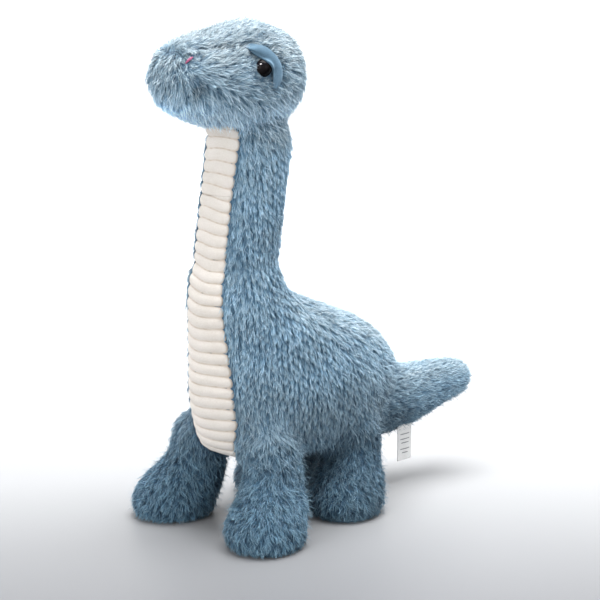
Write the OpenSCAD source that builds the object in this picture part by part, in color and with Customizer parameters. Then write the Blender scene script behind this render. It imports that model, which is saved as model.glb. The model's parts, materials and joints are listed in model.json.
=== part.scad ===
// Stuffed long-neck dinosaur. It faces -Y, its left side is +X, and it stands on z = 0.

/* [Cloth and gaps] */
// Thickness of the fur cloth, its pile pressed flat
fur_cloth = 2.2; // [1.6:0.1:3]
// Thickness of the ribbed cloth of the bib
bib_cloth = 2.2; // [1.6:0.1:3]
// Room between the stuffing and the cloth
fill_gap = 0.2; // [0.1:0.05:0.4]
// Room between two panels of one seam
seam_gap = 0.3; // [0.2:0.05:0.6]
// Room between two bodies at a joint
joint_gap = 0.7; // [0.5:0.1:1.2]

/* [Torso] */
// Width of the torso
torso_w = 92; // [84:1:98]
// Height of the belly above the floor
belly_z = 48; // [46:1:50]
// Chest line, behind which the torso lies
chest_y = -106; // [-109:1:-103]

/* [Neck] */
// Radius of the neck and of its round ends
neck_r = 27; // [25:0.5:28]
// Height at which the neck bends on the torso
neck_z = 192; // [189:1:195]
// How far back the neck leans over its length
neck_lean = 12; // [6:1:14]
// Length of the neck between its two bends
neck_len = 74; // [70:1:78]

/* [Head] */
// Half width of the head at the cheeks
cheek_w = 35; // [32:0.5:38]
// Half width of the snout
snout_w = 28; // [26:0.5:30]
// Height of the crown of the head
crown_z = 347; // [344:1:350]

/* [Eyes] */
// Diameter of the safety eye
eye_d = 12; // [10:0.5:14]
// Diameter of the eye's shank
shank_d = 3.6; // [3:0.1:4.5]
// Diameter of the locking washer
washer_d = 14; // [12:0.5:16]

/* [Tail] */
// Radius of the round root of the tail
tail_r = 27; // [25:0.5:28]
// Length of the tail from the centre of its root
tail_len = 103; // [100:1:108]
// How far the tail is bent to the left
tail_bend = 14; // [0:1:20]

/* [Legs] */
// Radius of a leg and of its round top
leg_r = 17.5; // [17:0.5:18]
// Half of the distance between the front feet
front_x = 41.5; // [40:0.5:43]
// How far a front foot stands outside its hip
front_lean = 6; // [4:0.5:7]
// Half of the distance between the hind feet
hind_x = 33; // [32:0.5:36]
// How far a hind foot stands outside its hip
hind_lean = 1; // [0:0.5:3]
// Height at which a leg swings in the torso
hip_z = 58; // [57:1:60]
// How far the toes point outwards
toe_out = 25; // [10:1:30]
// Thickness of the sole panel
sole_t = 2.4; // [2:0.1:3]

/* [Label] */
// Width of the sewn-in label
label_w = 16; // [14:1:18]
// Length of the label below its seam
label_len = 28; // [24:1:30]
// Thickness of the folded label
label_t = 0.6; // [0.5:0.1:0.9]

/* [Hidden] */

FUR = "steelblue";
CREAM = "linen";
FIBRE = "whitesmoke";
FAR = 400;

shank_len = 11;
washer_t = 1.4;
washer_z = -5;
eye_rise = 5; // height of the eye's dome
eye_sphere_r = (eye_d*eye_d/4 + eye_rise*eye_rise)/(2*eye_rise);
lid_t = 1.2;
stitch_d = 1.6;

// Joint centres
neck_low = [0, chest_y + neck_r + 0.5, neck_z];
neck_high = neck_low + [0, neck_lean, neck_len];
tail_root = [0, 40, 69];
front_leg = [front_x - front_lean, -82.5, hip_z];
hind_leg = [hind_x - hind_lean, 4.5, hip_z];
label_seam = [22, 73, 46.5];

// Swings that the rooms in the torso allow, to either side
hip_swing = 26;
lean_room = 1.6; // room for the leg's lean
tail_swing = [-28, 13];
socket_reach = 40; // how far a socket's mouth reaches from its joint centre
neck_play = 5; // room around the neck below the head

// Where the left eye sits on the cheek, and how far it looks forward and up
eye_place = [cheek_w - 0.9, -84.5, 318.5];
eye_turn = -10;
eye_tilt = 86;
lid_turn = 150; // turn of the eyelid's straight edge around the eye
lid_edge = 1.5; // its distance from the middle of the eye

// Ends of the left nostril's bar
nostril_ends = [[16.2, -135, 322.6], [16.7, -131, 325.7]];

// A slice of a body is [place along its axis, low side, high side, half width].
// Torso slices lie flat: height, chest line, rump line, half width.
torso_slices = [
    [belly_z + 14, chest_y + 2, 52, 0.46*torso_w],
    [belly_z + 30, chest_y - 3, 65, 0.5*torso_w],
    [belly_z + 50, chest_y - 6, 66, 0.5*torso_w],
    [belly_z + 70, chest_y - 6, 54, 0.48*torso_w],
    [belly_z + 88, chest_y - 6, 24, 0.44*torso_w],
    [belly_z + 103, chest_y - 6, -15, 0.38*torso_w],
    [belly_z + 116, chest_y - 5, -43, 0.34*torso_w],
    [neck_z - 11.5, chest_y - 2, chest_y + 55, 29]
];
// Head slices stand across it: depth, jaw line, crown line, half width.
head_slices = [
    [-130, 293, 332, 0.82*snout_w],
    [-121, 288, 335.5, snout_w],
    [-109, 284, 338.5, 1.03*snout_w],
    [-96, 279, crown_z - 5.5, 0.93*cheek_w],
    [-82, 278, crown_z - 2, cheek_w],
    [-68, 279, crown_z, cheek_w],
    [-54, 281, crown_z - 4, 0.9*cheek_w]
];
// Tail slices stand across it, measured from its root.
tail_slices = [
    [0, -tail_r, tail_r, tail_r],
    [26, -27, 22, 0.83*tail_r],
    [48, -23, 19, 0.67*tail_r],
    [70, -15, 19, 0.57*tail_r],
    [91, -8, 18, 0.47*tail_r]
];
// Leg slices lie flat, measured from the hip: height, toe line, heel line, half width.
leg_slices = [
    [0, -38, 6, 20],
    [4, -42, 10, 23.5],
    [13, -43.5, 12, 24.5],
    [24, -38, 15.5, 22.5],
    [36, -26, leg_r, leg_r + 0.5],
    [46, -leg_r, leg_r, leg_r],
    [hip_z, -leg_r, leg_r, leg_r]
];

// The bib's outline, seen from the front: half width and height
bib_outline = [[23.5, 0], [23.5, 68], [22.7, 103], [18.6, 149], [15.5, 186], [14.5, 230],
    [15.5, 320]];
bib_end = -60; // how far back the bib reaches under the belly

// Depths of the round ends
belly_cap = 14;
snout_cap = 10;
nape_cap = 22;
tail_cap = tail_len - tail_slices[len(tail_slices) - 1][0];

CAP = 4; // rings on a round end
FINE = 28; // points around the torso and the head
COARSE = 18; // points around the neck, the tail and the legs

// Smooth curve from b to c, with a and d before and after them
function curve(a, b, c, d, u) =
    0.5*(2*b + (c - a)*u + (2*a - 5*b + 4*c - d)*u*u + (3*b - a - 3*c + d)*u*u*u);

// Slices with steps rings from each to the next
function fine(rows, steps) = let (last = len(rows) - 1) concat(
    [for (i = [0:last - 1], k = [0:steps - 1])
        curve(rows[max(i - 1, 0)], rows[i], rows[i + 1], rows[min(i + 2, last)], k/steps)],
    [rows[last]]
);

// Round end that starts at a slice and goes depth further, to either side
function cap(row, depth) = let (mid = (row[1] + row[2])/2, half = (row[2] - row[1])/2) [
    for (i = [1:CAP]) let (f = 90*i/(CAP + 0.25))
        [row[0] + depth*sin(f), mid - half*cos(f), mid + half*cos(f), row[3]*cos(f)]
];

function turned(rows) = [for (i = [len(rows) - 1:-1:0]) rows[i]];

function inset(rows, t) = [for (r = rows) [r[0], r[1] + t, r[2] - t, r[3] - t]];

// Slices of a whole body, t inside its skin; low_cap and high_cap are the depths of its ends
function body_rows(rows, steps, low_cap, high_cap, t) =
    let (r = inset(rows, t), last = len(r) - 1) concat(
        low_cap > 0 ? turned(cap(r[0], t - low_cap)) : [],
        fine(r, steps),
        high_cap > 0 ? cap(r[last], high_cap - t) : []
    );

function flat_ring(r, n) = [for (k = [0:n - 1]) let (a = 360*k/n)
    [r[3]*sin(a), (r[1] + r[2])/2 - (r[2] - r[1])/2*cos(a), r[0]]];

function upright_ring(r, n) = [for (k = [0:n - 1]) let (a = -360*k/n)
    [r[3]*sin(a), r[0], (r[1] + r[2])/2 - (r[2] - r[1])/2*cos(a)]];

// Closed solid through rings with equal numbers of points
module loft(rings) {
    last = len(rings) - 1;
    n = len(rings[0]);
    function at(i, k) = i*n + k%n;
    polyhedron(
        points = [for (ring = rings, p = ring) p],
        faces = concat(
            [[for (k = [0:n - 1]) at(0, k)]],
            [[for (k = [n - 1:-1:0]) at(last, k)]],
            [for (i = [0:last - 1], k = [0:n - 1]) [at(i, k), at(i + 1, k), at(i + 1, k + 1)]],
            [for (i = [0:last - 1], k = [0:n - 1]) [at(i, k), at(i + 1, k + 1), at(i, k + 1)]]
        )
    );
}

// The soft panels come out as one mesh each.
module soft() resize([0, 0, 0]) children();

module ball(centre, r) translate(centre) sphere(r, $fn = 24);

// Everything on one side of the middle: 1 is the left side
module side_of(side) {
    translate([side*(FAR/2 + seam_gap/2), 0, 0]) cube([FAR, FAR*2, FAR*3], center = true);
}

module torso_body(t) loft([for (r = body_rows(torso_slices, 2, belly_cap, 0, t)) flat_ring(r, FINE)]);

module neck_body(t) {
    loft([for (r = body_rows([
        [neck_low[2], neck_low[1] - neck_r, neck_low[1] + neck_r, neck_r],
        [neck_high[2], neck_high[1] - neck_r, neck_high[1] + neck_r, neck_r]
    ], 2, neck_r, neck_r, t)) flat_ring(r, COARSE)]);
}

module head_body(t) loft([for (r = body_rows(head_slices, 1, snout_cap, nape_cap, t)) upright_ring(r, FINE)]);

// The tail's own frame: it points along +y from its root
module tail_frame() translate(tail_root) rotate([0, 0, -tail_bend]) children();

module tail_body(t) {
    loft([for (r = body_rows(tail_slices, 2, tail_r, tail_cap, t)) upright_ring(r, COARSE)]);
}

// Below its hip a leg leans outwards.
module leg_body(place, t) {
    side = sign(place[0]);
    lean = place[1] == front_leg[1] ? front_lean : hind_lean;
    translate([place[0], place[1], 0]) rotate([0, 0, side*toe_out])
        loft([for (r = body_rows(leg_slices, 1, 0, leg_r, t)) let (out = lean*max(0, 1 - r[0]/hip_z))
            [for (p = flat_ring(r, COARSE)) p + out*[side*cos(toe_out), -sin(toe_out), 0]]]);
}

// Room in the torso for the round ends of the neck, the tail and the legs
module torso_sockets() {
    ball(neck_low, neck_r + joint_gap);
    tail_room();
    for (place = [front_leg, hind_leg], side = [-1, 1]) hip_room(at_leg(place, side));
}

// A leg's top, and the room below it that the swinging leg sweeps
module hip_room(place) {
    ball(place, leg_r + joint_gap);
    hull() for (swing = [-hip_swing, hip_swing])
        translate(place) rotate([swing, 0, 0]) translate([0, 0, -socket_reach])
            cylinder(h = socket_reach, r = leg_r + joint_gap + lean_room, $fn = 16);
}

// The tail's round root, and the room behind it that the wagging tail sweeps
module tail_room() {
    ball(tail_root, tail_r + joint_gap);
    hull() for (swing = tail_swing)
        translate(tail_root) rotate([0, 0, swing]) rotate([-90, 0, 0])
            cylinder(h = socket_reach, r1 = tail_r + joint_gap, r2 = tail_r + joint_gap, $fn = 18);
}

// The bib's outline, seen from the front
module bib_zone(t) {
    translate([0, bib_end, 0]) rotate([90, 0, 0]) linear_extrude(FAR/2)
        offset(delta = t)
            polygon(concat(bib_outline, [for (p = turned(bib_outline)) [-p[0], p[1]]]));
}

module torso_stuffing() {
    color(FIBRE) soft() difference() {
        torso_body(fur_cloth + fill_gap);
        torso_sockets();
    }
}

module torso_side(side) {
    color(FUR) soft() difference() {
        intersection() {
            torso_body(0);
            side_of(side);
        }
        torso_body(fur_cloth);
        bib_zone(seam_gap);
        torso_sockets();
    }
}

module torso_side_left() torso_side(1);
module torso_side_right() torso_side(-1);

module belly_panel() {
    color(CREAM) soft() difference() {
        intersection() {
            torso_body(0);
            bib_zone(0);
        }
        torso_body(bib_cloth);
        torso_sockets();
    }
}

module neck_stuffing() color(FIBRE) neck_body(fur_cloth + fill_gap);

module neck_side(side) {
    color(FUR) soft() difference() {
        intersection() {
            neck_body(0);
            side_of(side);
        }
        neck_body(fur_cloth);
        bib_zone(seam_gap);
    }
}

module neck_side_left() neck_side(1);
module neck_side_right() neck_side(-1);

module neck_bib() {
    color(CREAM) soft() difference() {
        intersection() {
            neck_body(0);
            bib_zone(0);
        }
        neck_body(bib_cloth);
    }
}

// Room in the head for the round top of the neck
module head_socket() {
    ball(neck_high, neck_r + joint_gap);
    translate(neck_high - [0, 0, socket_reach])
        cylinder(h = socket_reach, r = neck_r + neck_play, $fn = 32);
}

// The top panel's outline, seen from above
module gusset_zone(t) {
    translate([0, 0, 290]) linear_extrude(FAR/4) offset(delta = t)
        polygon([[-19, -170], [19, -170], [21, -130], [17, -100], [15, -60], [11, 0],
            [-11, 0], [-15, -60], [-17, -100], [-21, -130]]);
}

// The chin panel's outline, seen from the side: it lies below the mouth
module chin_zone(t) {
    rotate([90, 0, 90]) linear_extrude(FAR/4, center = true) offset(delta = t)
        polygon([[-160, 308], [-124, 304], [-102, 294], [-92, 262], [-160, 262]]);
}

// Frame of an eye: the cloth lies at z = 0, the eye looks along +z, and the brow is at -x
module eye_frame(side) {
    mirror([side < 0 ? 1 : 0, 0, 0])
        translate(eye_place) rotate([0, 0, eye_turn]) rotate([0, eye_tilt, 0]) children();
}

// Seats for the eyes, and room behind them for the shanks and the washers
module eye_rooms(gap) {
    for (side = [-1, 1]) eye_frame(side) {
        translate([0, 0, -gap]) cylinder(h = eye_rise, d = eye_d + 2*gap, $fn = 24);
        translate([0, 0, -shank_len - 1]) cylinder(h = shank_len + 4, d = shank_d + 2*gap, $fn = 24);
        translate([0, 0, washer_z - gap])
            cylinder(h = washer_t + 2*gap, d = washer_d + 2*gap, $fn = 32);
    }
}

module head_stuffing() {
    color(FIBRE) soft() difference() {
        head_body(fur_cloth + fill_gap);
        head_socket();
        eye_rooms(0.3);
    }
}

module head_side(side) {
    color(FUR) soft() difference() {
        intersection() {
            head_body(0);
            side_of(side);
        }
        head_body(fur_cloth);
        gusset_zone(seam_gap);
        chin_zone(seam_gap);
        head_socket();
        eye_rooms(0.3);
    }
}

module head_side_left() head_side(1);
module head_side_right() head_side(-1);

module head_gusset() {
    color(FUR) soft() difference() {
        intersection() {
            head_body(0);
            gusset_zone(0);
        }
        head_body(fur_cloth);
        chin_zone(seam_gap);
        head_socket();
    }
}

module head_chin() {
    color(FUR) soft() difference() {
        intersection() {
            head_body(0);
            chin_zone(0);
        }
        head_body(fur_cloth);
        head_socket();
    }
}

module tail_stuffing() color(FIBRE) tail_frame() tail_body(fur_cloth + fill_gap);

module tail_side(side) {
    color(FUR) soft() tail_frame() difference() {
        intersection() {
            tail_body(0);
            side_of(side);
        }
        tail_body(fur_cloth);
    }
}

module tail_side_left() tail_side(1);
module tail_side_right() tail_side(-1);

// Safety eye: a domed cap with a shank
module eye(side) {
    color("black") eye_frame(side) {
        intersection() {
            translate([0, 0, eye_rise - eye_sphere_r]) sphere(eye_sphere_r, $fn = 48);
            cylinder(h = eye_d, d = eye_d, $fn = 48);
        }
        translate([0, 0, -shank_len]) cylinder(h = shank_len + 1, d = shank_d, $fn = 32);
    }
}

module eye_left() eye(1);
module eye_right() eye(-1);

module eye_washer(side) {
    color("white") eye_frame(side) translate([0, 0, washer_z]) difference() {
        cylinder(h = washer_t, d = washer_d, $fn = 32);
        translate([0, 0, -1]) cylinder(h = washer_t + 2, d = shank_d, $fn = 32);
    }
}

module eye_washer_left() eye_washer(1);
module eye_washer_right() eye_washer(-1);

// Half moon of suede over the top and the back of the eye
module eyelid(side) {
    color(FUR) soft() difference() {
        eye_frame(side) intersection() {
            difference() {
                translate([0, 0, eye_rise - eye_sphere_r])
                    sphere(eye_sphere_r + seam_gap + lid_t, $fn = 24);
                translate([0, 0, eye_rise - eye_sphere_r])
                    sphere(eye_sphere_r + seam_gap, $fn = 24);
            }
            rotate([0, 0, lid_turn]) translate([lid_edge, -FAR/2, 0]) cube([FAR, FAR, eye_d]);
        }
        head_body(-0.05);
    }
}

module eyelid_left() eyelid(1);
module eyelid_right() eyelid(-1);

// A short thread bar at the seam of the snout
module nostril(side) {
    color("pink") soft() difference() {
        hull() for (end = nostril_ends)
            translate([side*end[0], end[1], end[2]]) sphere(d = stitch_d, $fn = 12);
        head_body(-0.05);
    }
}

module nostril_left() nostril(1);
module nostril_right() nostril(-1);

// The part of a leg above its sole panel
module above_sole(gap) {
    translate([0, 0, FAR/2 + sole_t + gap]) cube(FAR, center = true);
}

// A leg's outer or inner half
module leg_half(place, outer) {
    translate([place[0], place[1], 0])
        translate([sign(place[0])*(outer ? 1 : -1)*(FAR/2 + seam_gap/2), 0, 0])
            cube(FAR, center = true);
}

module leg_stuffing(place) {
    color(FIBRE) soft() intersection() {
        leg_body(place, fur_cloth + fill_gap);
        above_sole(fill_gap);
    }
}

module leg_panel(place, outer) {
    color(FUR) soft() difference() {
        intersection() {
            leg_body(place, 0);
            above_sole(seam_gap);
            leg_half(place, outer);
        }
        leg_body(place, fur_cloth);
    }
}

module sole(place) {
    color(FUR) soft() difference() {
        leg_body(place, 0);
        above_sole(0);
    }
}

function at_leg(place, side) = [side*place[0], place[1], place[2]];

module front_left_leg_stuffing() leg_stuffing(at_leg(front_leg, 1));
module front_left_leg_outer() leg_panel(at_leg(front_leg, 1), true);
module front_left_leg_inner() leg_panel(at_leg(front_leg, 1), false);
module front_left_sole() sole(at_leg(front_leg, 1));
module front_right_leg_stuffing() leg_stuffing(at_leg(front_leg, -1));
module front_right_leg_outer() leg_panel(at_leg(front_leg, -1), true);
module front_right_leg_inner() leg_panel(at_leg(front_leg, -1), false);
module front_right_sole() sole(at_leg(front_leg, -1));
module hind_left_leg_stuffing() leg_stuffing(at_leg(hind_leg, 1));
module hind_left_leg_outer() leg_panel(at_leg(hind_leg, 1), true);
module hind_left_leg_inner() leg_panel(at_leg(hind_leg, 1), false);
module hind_left_sole() sole(at_leg(hind_leg, 1));
module hind_right_leg_stuffing() leg_stuffing(at_leg(hind_leg, -1));
module hind_right_leg_outer() leg_panel(at_leg(hind_leg, -1), true);
module hind_right_leg_inner() leg_panel(at_leg(hind_leg, -1), false);
module hind_right_sole() sole(at_leg(hind_leg, -1));

// The label hangs from the seam under the tail and faces sideways
module label() {
    color("white") translate(label_seam - [label_t/2, label_w/2, label_len])
        cube([label_t, label_w, label_len]);
}

torso_stuffing();
torso_side_left();
torso_side_right();
belly_panel();
neck_stuffing();
neck_side_left();
neck_side_right();
neck_bib();
head_stuffing();
head_side_left();
head_side_right();
head_gusset();
head_chin();
eye_left();
eye_right();
eye_washer_left();
eye_washer_right();
eyelid_left();
eyelid_right();
nostril_left();
nostril_right();
tail_stuffing();
tail_side_left();
tail_side_right();
front_left_leg_stuffing();
front_left_leg_outer();
front_left_leg_inner();
front_left_sole();
front_right_leg_stuffing();
front_right_leg_outer();
front_right_leg_inner();
front_right_sole();
hind_left_leg_stuffing();
hind_left_leg_outer();
hind_left_leg_inner();
hind_left_sole();
hind_right_leg_stuffing();
hind_right_leg_outer();
hind_right_leg_inner();
hind_right_sole();
label();
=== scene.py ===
"""A stuffed long-neck dinosaur in tufted blue fur with a ribbed cream bib.

It faces -Y, its left side is +X and it stands on z = 0. Tables and lengths with MM are written in
millimetres, and the frame and the rest are in metres.
"""
import json
from math import copysign, cos, dist, exp, pi, radians, sin, sqrt

import bpy
import numpy as np
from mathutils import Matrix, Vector
from mathutils.bvhtree import BVHTree
from numpy.linalg import norm


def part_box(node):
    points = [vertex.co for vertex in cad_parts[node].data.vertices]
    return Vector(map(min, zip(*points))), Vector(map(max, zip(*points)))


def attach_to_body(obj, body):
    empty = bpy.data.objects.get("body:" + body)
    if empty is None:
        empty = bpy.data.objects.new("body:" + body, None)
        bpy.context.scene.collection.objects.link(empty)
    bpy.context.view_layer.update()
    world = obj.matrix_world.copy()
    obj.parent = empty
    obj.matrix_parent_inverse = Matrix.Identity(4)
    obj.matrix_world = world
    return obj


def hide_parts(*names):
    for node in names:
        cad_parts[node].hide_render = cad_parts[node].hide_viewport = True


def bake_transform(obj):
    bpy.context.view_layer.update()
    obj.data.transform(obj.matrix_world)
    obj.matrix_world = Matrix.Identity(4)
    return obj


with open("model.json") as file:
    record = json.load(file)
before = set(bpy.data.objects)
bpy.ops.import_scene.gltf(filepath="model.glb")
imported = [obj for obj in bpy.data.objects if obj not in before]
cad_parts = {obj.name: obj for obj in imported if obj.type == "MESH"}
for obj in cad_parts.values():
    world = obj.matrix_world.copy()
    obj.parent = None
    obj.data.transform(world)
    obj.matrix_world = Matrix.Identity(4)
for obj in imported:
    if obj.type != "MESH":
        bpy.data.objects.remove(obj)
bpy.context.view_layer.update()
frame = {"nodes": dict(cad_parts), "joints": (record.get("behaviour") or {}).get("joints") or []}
scene = bpy.context.scene

MM = 0.001
NODES = frame["nodes"]
PIVOT = {joint["name"]: np.array(joint["pos_m"]) for joint in frame["joints"]}
LEGS = ("front_left_leg", "front_right_leg", "hind_left_leg", "hind_right_leg")
SIDES = {"left": 1, "right": -1}
RNG = np.random.default_rng(7)

# Skin
VOXEL = 2.2 * MM  # width of a face of the skin; fur roots once on each
FIRST_VOXEL = 2.0 * MM  # the same while hollows are rounded
FILLET = 9.0 * MM  # radius of the hollows where parts meet
PILE_BASE = 1.0 * MM  # height of the fur's backing over the frame's cloth
PAD_PLACE = np.array([0, 52, 86]) * MM  # the filling over the root of the tail
PAD_SIZE = np.array([21, 13, 25]) * MM
PAD_COS, PAD_SIN = 0.78, 0.62  # of the angle by which its top leans back

# Fur
TUFT_GAP = 3.1 * MM  # least distance between two tufts
ROW_STEP = (3.8 * MM, 6.0 * MM)  # of tufts on the flanks and neck: between columns, and down one
ROW_SHIFT = 0.62  # rise of a column over the one before it, as a share of a step
ROW_STRAY = 0.35 * MM
ROWS_ALONG, ROWS_UP = (-0.112, 0.066), (0.070, 0.262)  # y and z that have rows
OUTSIDE = 0.09  # x of a place beside the toy
DOWN_STRANDS = 5  # short hairs at each root
FLOOR_GAP = 0.25 * MM  # the lowest strands lie on the floor

# Bib
RIB = 8.0 * MM  # pitch of the ribs
RIB_HEIGHT = 2.0 * MM
RIB_ROUND = 0.42  # less than 1 makes the ribs broad and the grooves narrow
BIB_STEP = 0.8 * MM
BIB_COLUMNS = 25
BIB_ASIDE = 1.4 * MM  # how far right the bib's middle lies on the neck
BIB_THICK = 1.2 * MM
BIB_SUNK = 0.3 * MM  # depth of the grooves under the skin

# Where the pieces of the skin part
NECK_TOP = 0.234  # where the head's skin and the throat's bib start
NECK_FOOT = 0.160  # where the neck's skin starts, at the front
NECK_BACK = -0.02
TORSO_SPLIT = -20 * MM  # between its front and rear pieces
TAIL_FRONT = 0.034
TAIL_HEIGHTS = (0.03, 0.13)
LEG_TOP = 0.064
LEG_SPLIT = -0.042  # between the front and the hind legs
LEG_REACH = 60 * MM  # of a front leg's skin, forwards from its hip
CROTCH = 44 * MM  # a leg's skin starts further from the toy's middle above this
LEG_BACK, HEEL_TOP = 0.036, 0.034  # behind the first, leg is only what is below the second


def ease(x, low, high):
    t = np.clip((x - low) / (high - low), 0, 1)
    return t * t * (3 - 2 * t)


def unit(v):
    return v / np.maximum(norm(v, axis=-1, keepdims=True), 1e-12)


# ---- meshes

def read(items, key, each, kind=float):
    """The values that the items of a mesh hold, in a flat array."""
    flat = np.empty(len(items) * each, kind)
    items.foreach_get(key, flat)
    return flat


def write(items, key, values, kind=np.float32):
    items.foreach_set(key, np.asarray(values, kind).ravel())


def points_of(mesh):
    return read(mesh.vertices, "co", 3).reshape(-1, 3)


def normals_of(mesh):
    return read(mesh.vertex_normals, "vector", 3).reshape(-1, 3)


def edges_of(mesh):
    return read(mesh.edges, "vertices", 2, np.int32).reshape(-1, 2)


def set_points(mesh, points):
    write(mesh.vertices, "co", points)
    mesh.update()


def quads_of(mesh):
    """The faces of an all-quad mesh."""
    return read(mesh.loops, "vertex_index", 1, np.int32).reshape(-1, 4)


def tube_quads(rings, turns, start=0):
    """Faces between rings of points, each ring with as many points as turns."""
    index = start + np.arange(rings * turns).reshape(rings, turns)
    after = np.roll(index, -1, axis=1)
    return np.stack([index[:-1], index[1:], after[1:], after[:-1]], -1).reshape(-1, 4)


def build_mesh(name, points, face_groups):
    """A mesh from points and arrays of faces, with a column for each corner."""
    mesh = bpy.data.meshes.new(name)
    mesh.vertices.add(len(points))
    write(mesh.vertices, "co", points)
    sizes = np.concatenate([np.full(len(g), g.shape[1], np.int32) for g in face_groups])
    corners = np.concatenate([g.ravel() for g in face_groups])
    mesh.loops.add(len(corners))
    write(mesh.loops, "vertex_index", corners, np.int32)
    mesh.polygons.add(len(sizes))
    write(mesh.polygons, "loop_start", np.cumsum(sizes) - sizes, np.int32)
    write(mesh.polygons, "use_smooth", np.ones(len(sizes)), bool)
    mesh.update(calc_edges=True)
    return mesh


def add_object(name, mesh, *materials):
    obj = bpy.data.objects.new(name, mesh)
    scene.collection.objects.link(obj)
    for material in materials:
        mesh.materials.append(material)
    return obj


def modified(mesh, kind, **values):
    """The mesh after a modifier."""
    obj = add_object("work", mesh)
    modifier = obj.modifiers.new(kind, kind)
    for key, value in values.items():
        setattr(modifier, key, value)
    shown = obj.evaluated_get(bpy.context.evaluated_depsgraph_get())
    made = bpy.data.meshes.new_from_object(shown)
    bpy.data.objects.remove(obj)
    return made


def remeshed(mesh, voxel):
    return modified(mesh, "REMESH", mode="VOXEL", voxel_size=voxel)


def relax(points, edges, rounds, pull=0.5, push=-0.53):
    """Smooths points along edges; push after pull keeps their volume."""
    a = np.concatenate([edges[:, 0], edges[:, 1]])
    b = np.concatenate([edges[:, 1], edges[:, 0]])
    count = np.maximum(np.bincount(a, minlength=len(points)), 1)[:, None]
    for _ in range(rounds):
        for share in (pull, push):
            mean = np.stack([np.bincount(a, points[b, k], len(points)) for k in range(3)], 1) / count
            points = points + share * (mean - points)
    return points


def largest_part(mesh):
    """Leaves out the small closed surfaces inside the body."""
    edges = edges_of(mesh)
    label = np.arange(len(mesh.vertices))
    while True:
        low = np.minimum(label[edges[:, 0]], label[edges[:, 1]])
        new = label.copy()
        np.minimum.at(new, edges[:, 0], low)
        np.minimum.at(new, edges[:, 1], low)
        new = new[new]
        if (new == label).all():
            break
        label = new
    names, counts = np.unique(label, return_counts=True)
    kept = label == names[counts.argmax()]
    place = np.cumsum(kept) - 1
    quads = quads_of(mesh)
    return build_mesh("skin", points_of(mesh)[kept], [place[quads[kept[quads[:, 0]]]]])


# ---- the whole skin

def joined(meshes):
    points, faces = [], []
    for part in meshes:
        start = len(points)
        points += [v.co[:] for v in part.vertices]
        faces += [[start + i for i in p.vertices] for p in part.polygons]
    mesh = bpy.data.meshes.new("joined")
    mesh.from_pydata(points, [], faces)
    return mesh


def rump_pad():
    """A round pad that carries the back over onto the tail."""
    points = []
    rings, turns = 13, 24
    for i in range(rings):
        for k in range(turns):
            high, turn = pi * (i + 0.02) / 12.04, pi * k / 12
            wide = sin(high)
            a, b, c = np.array([wide * cos(turn), wide * sin(turn), cos(high)]) * PAD_SIZE
            points.append(PAD_PLACE + [a, b * PAD_COS + c * PAD_SIN, c * PAD_COS - b * PAD_SIN])
    last = rings * turns - 1
    ends = np.array([list(range(turns)), list(range(last, last - turns, -1))])
    return build_mesh("pad", np.array(points), [tube_quads(rings, turns), ends])


# Creases pressed into the head: left-side path, depth and half width
CREASES = [
    ([(0, -147, 300), (7, -146, 299), (14, -142, 300), (20, -134, 304), (24, -128, 307)], 2.2, 2.6),
    ([(20, -134, 304), (23, -129, 307)], 4.2, 4.0),
    ([(17, -121, 330), (22, -101, 331), (25, -84, 335), (27, -72, 338)], 3.0, 2.4),
]

# Places where the head is fuller: left-side place, rise and radius
PUFFS = [((14, -128, 331), 1.0, 8)]


def path_distance(points, path):
    """Distance of points to a path of straight stretches."""
    best = np.full(len(points), 1e9)
    for a, b in zip(path[:-1], path[1:]):
        a, b = np.array(a, float) * MM, np.array(b, float) * MM
        share = np.clip((points - a) @ (b - a) / max((b - a) @ (b - a), 1e-12), 0, 1)
        best = np.minimum(best, norm(points - a - share[:, None] * (b - a), axis=1))
    return best


def folded_over(points):
    """The points with those of the right side folded over to the left."""
    return np.abs(points) * [1, 0, 0] + points * [0, 1, 1]


def near_path(points, path, width):
    """1 on a path and less away from it; width is in millimetres."""
    return np.exp(-((path_distance(points, path) / (width * MM)) ** 2))


def creased(points, normals):
    folded = folded_over(points)
    for path, depth, width in CREASES:
        points = points - normals * (near_path(folded, path, width) * depth * MM)[:, None]
    for place, rise, radius in PUFFS:
        near = near_path(folded, [place, place], radius)
        points = points + normals * (near * rise * MM)[:, None]
    return points


FRONT_SHIFT, HIND_SHIFT = 1.5 * MM, 2.5 * MM


def leg_shift(points):
    """The front shanks sit outwards and back, and the hind legs inwards and back."""
    x, y, z = points.T
    below = 1 - ease(z, 46 * MM, 64 * MM)
    front = below * ease(z, 10 * MM, 30 * MM) * (1 - ease(y, -55 * MM, -45 * MM))
    front *= FRONT_SHIFT
    hind = below * ease(y, -48 * MM, -38 * MM) * (1 - ease(y, 28 * MM, 40 * MM))
    hind *= HIND_SHIFT
    return np.stack([np.sign(x) * (front - hind), front + hind], 1)


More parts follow.
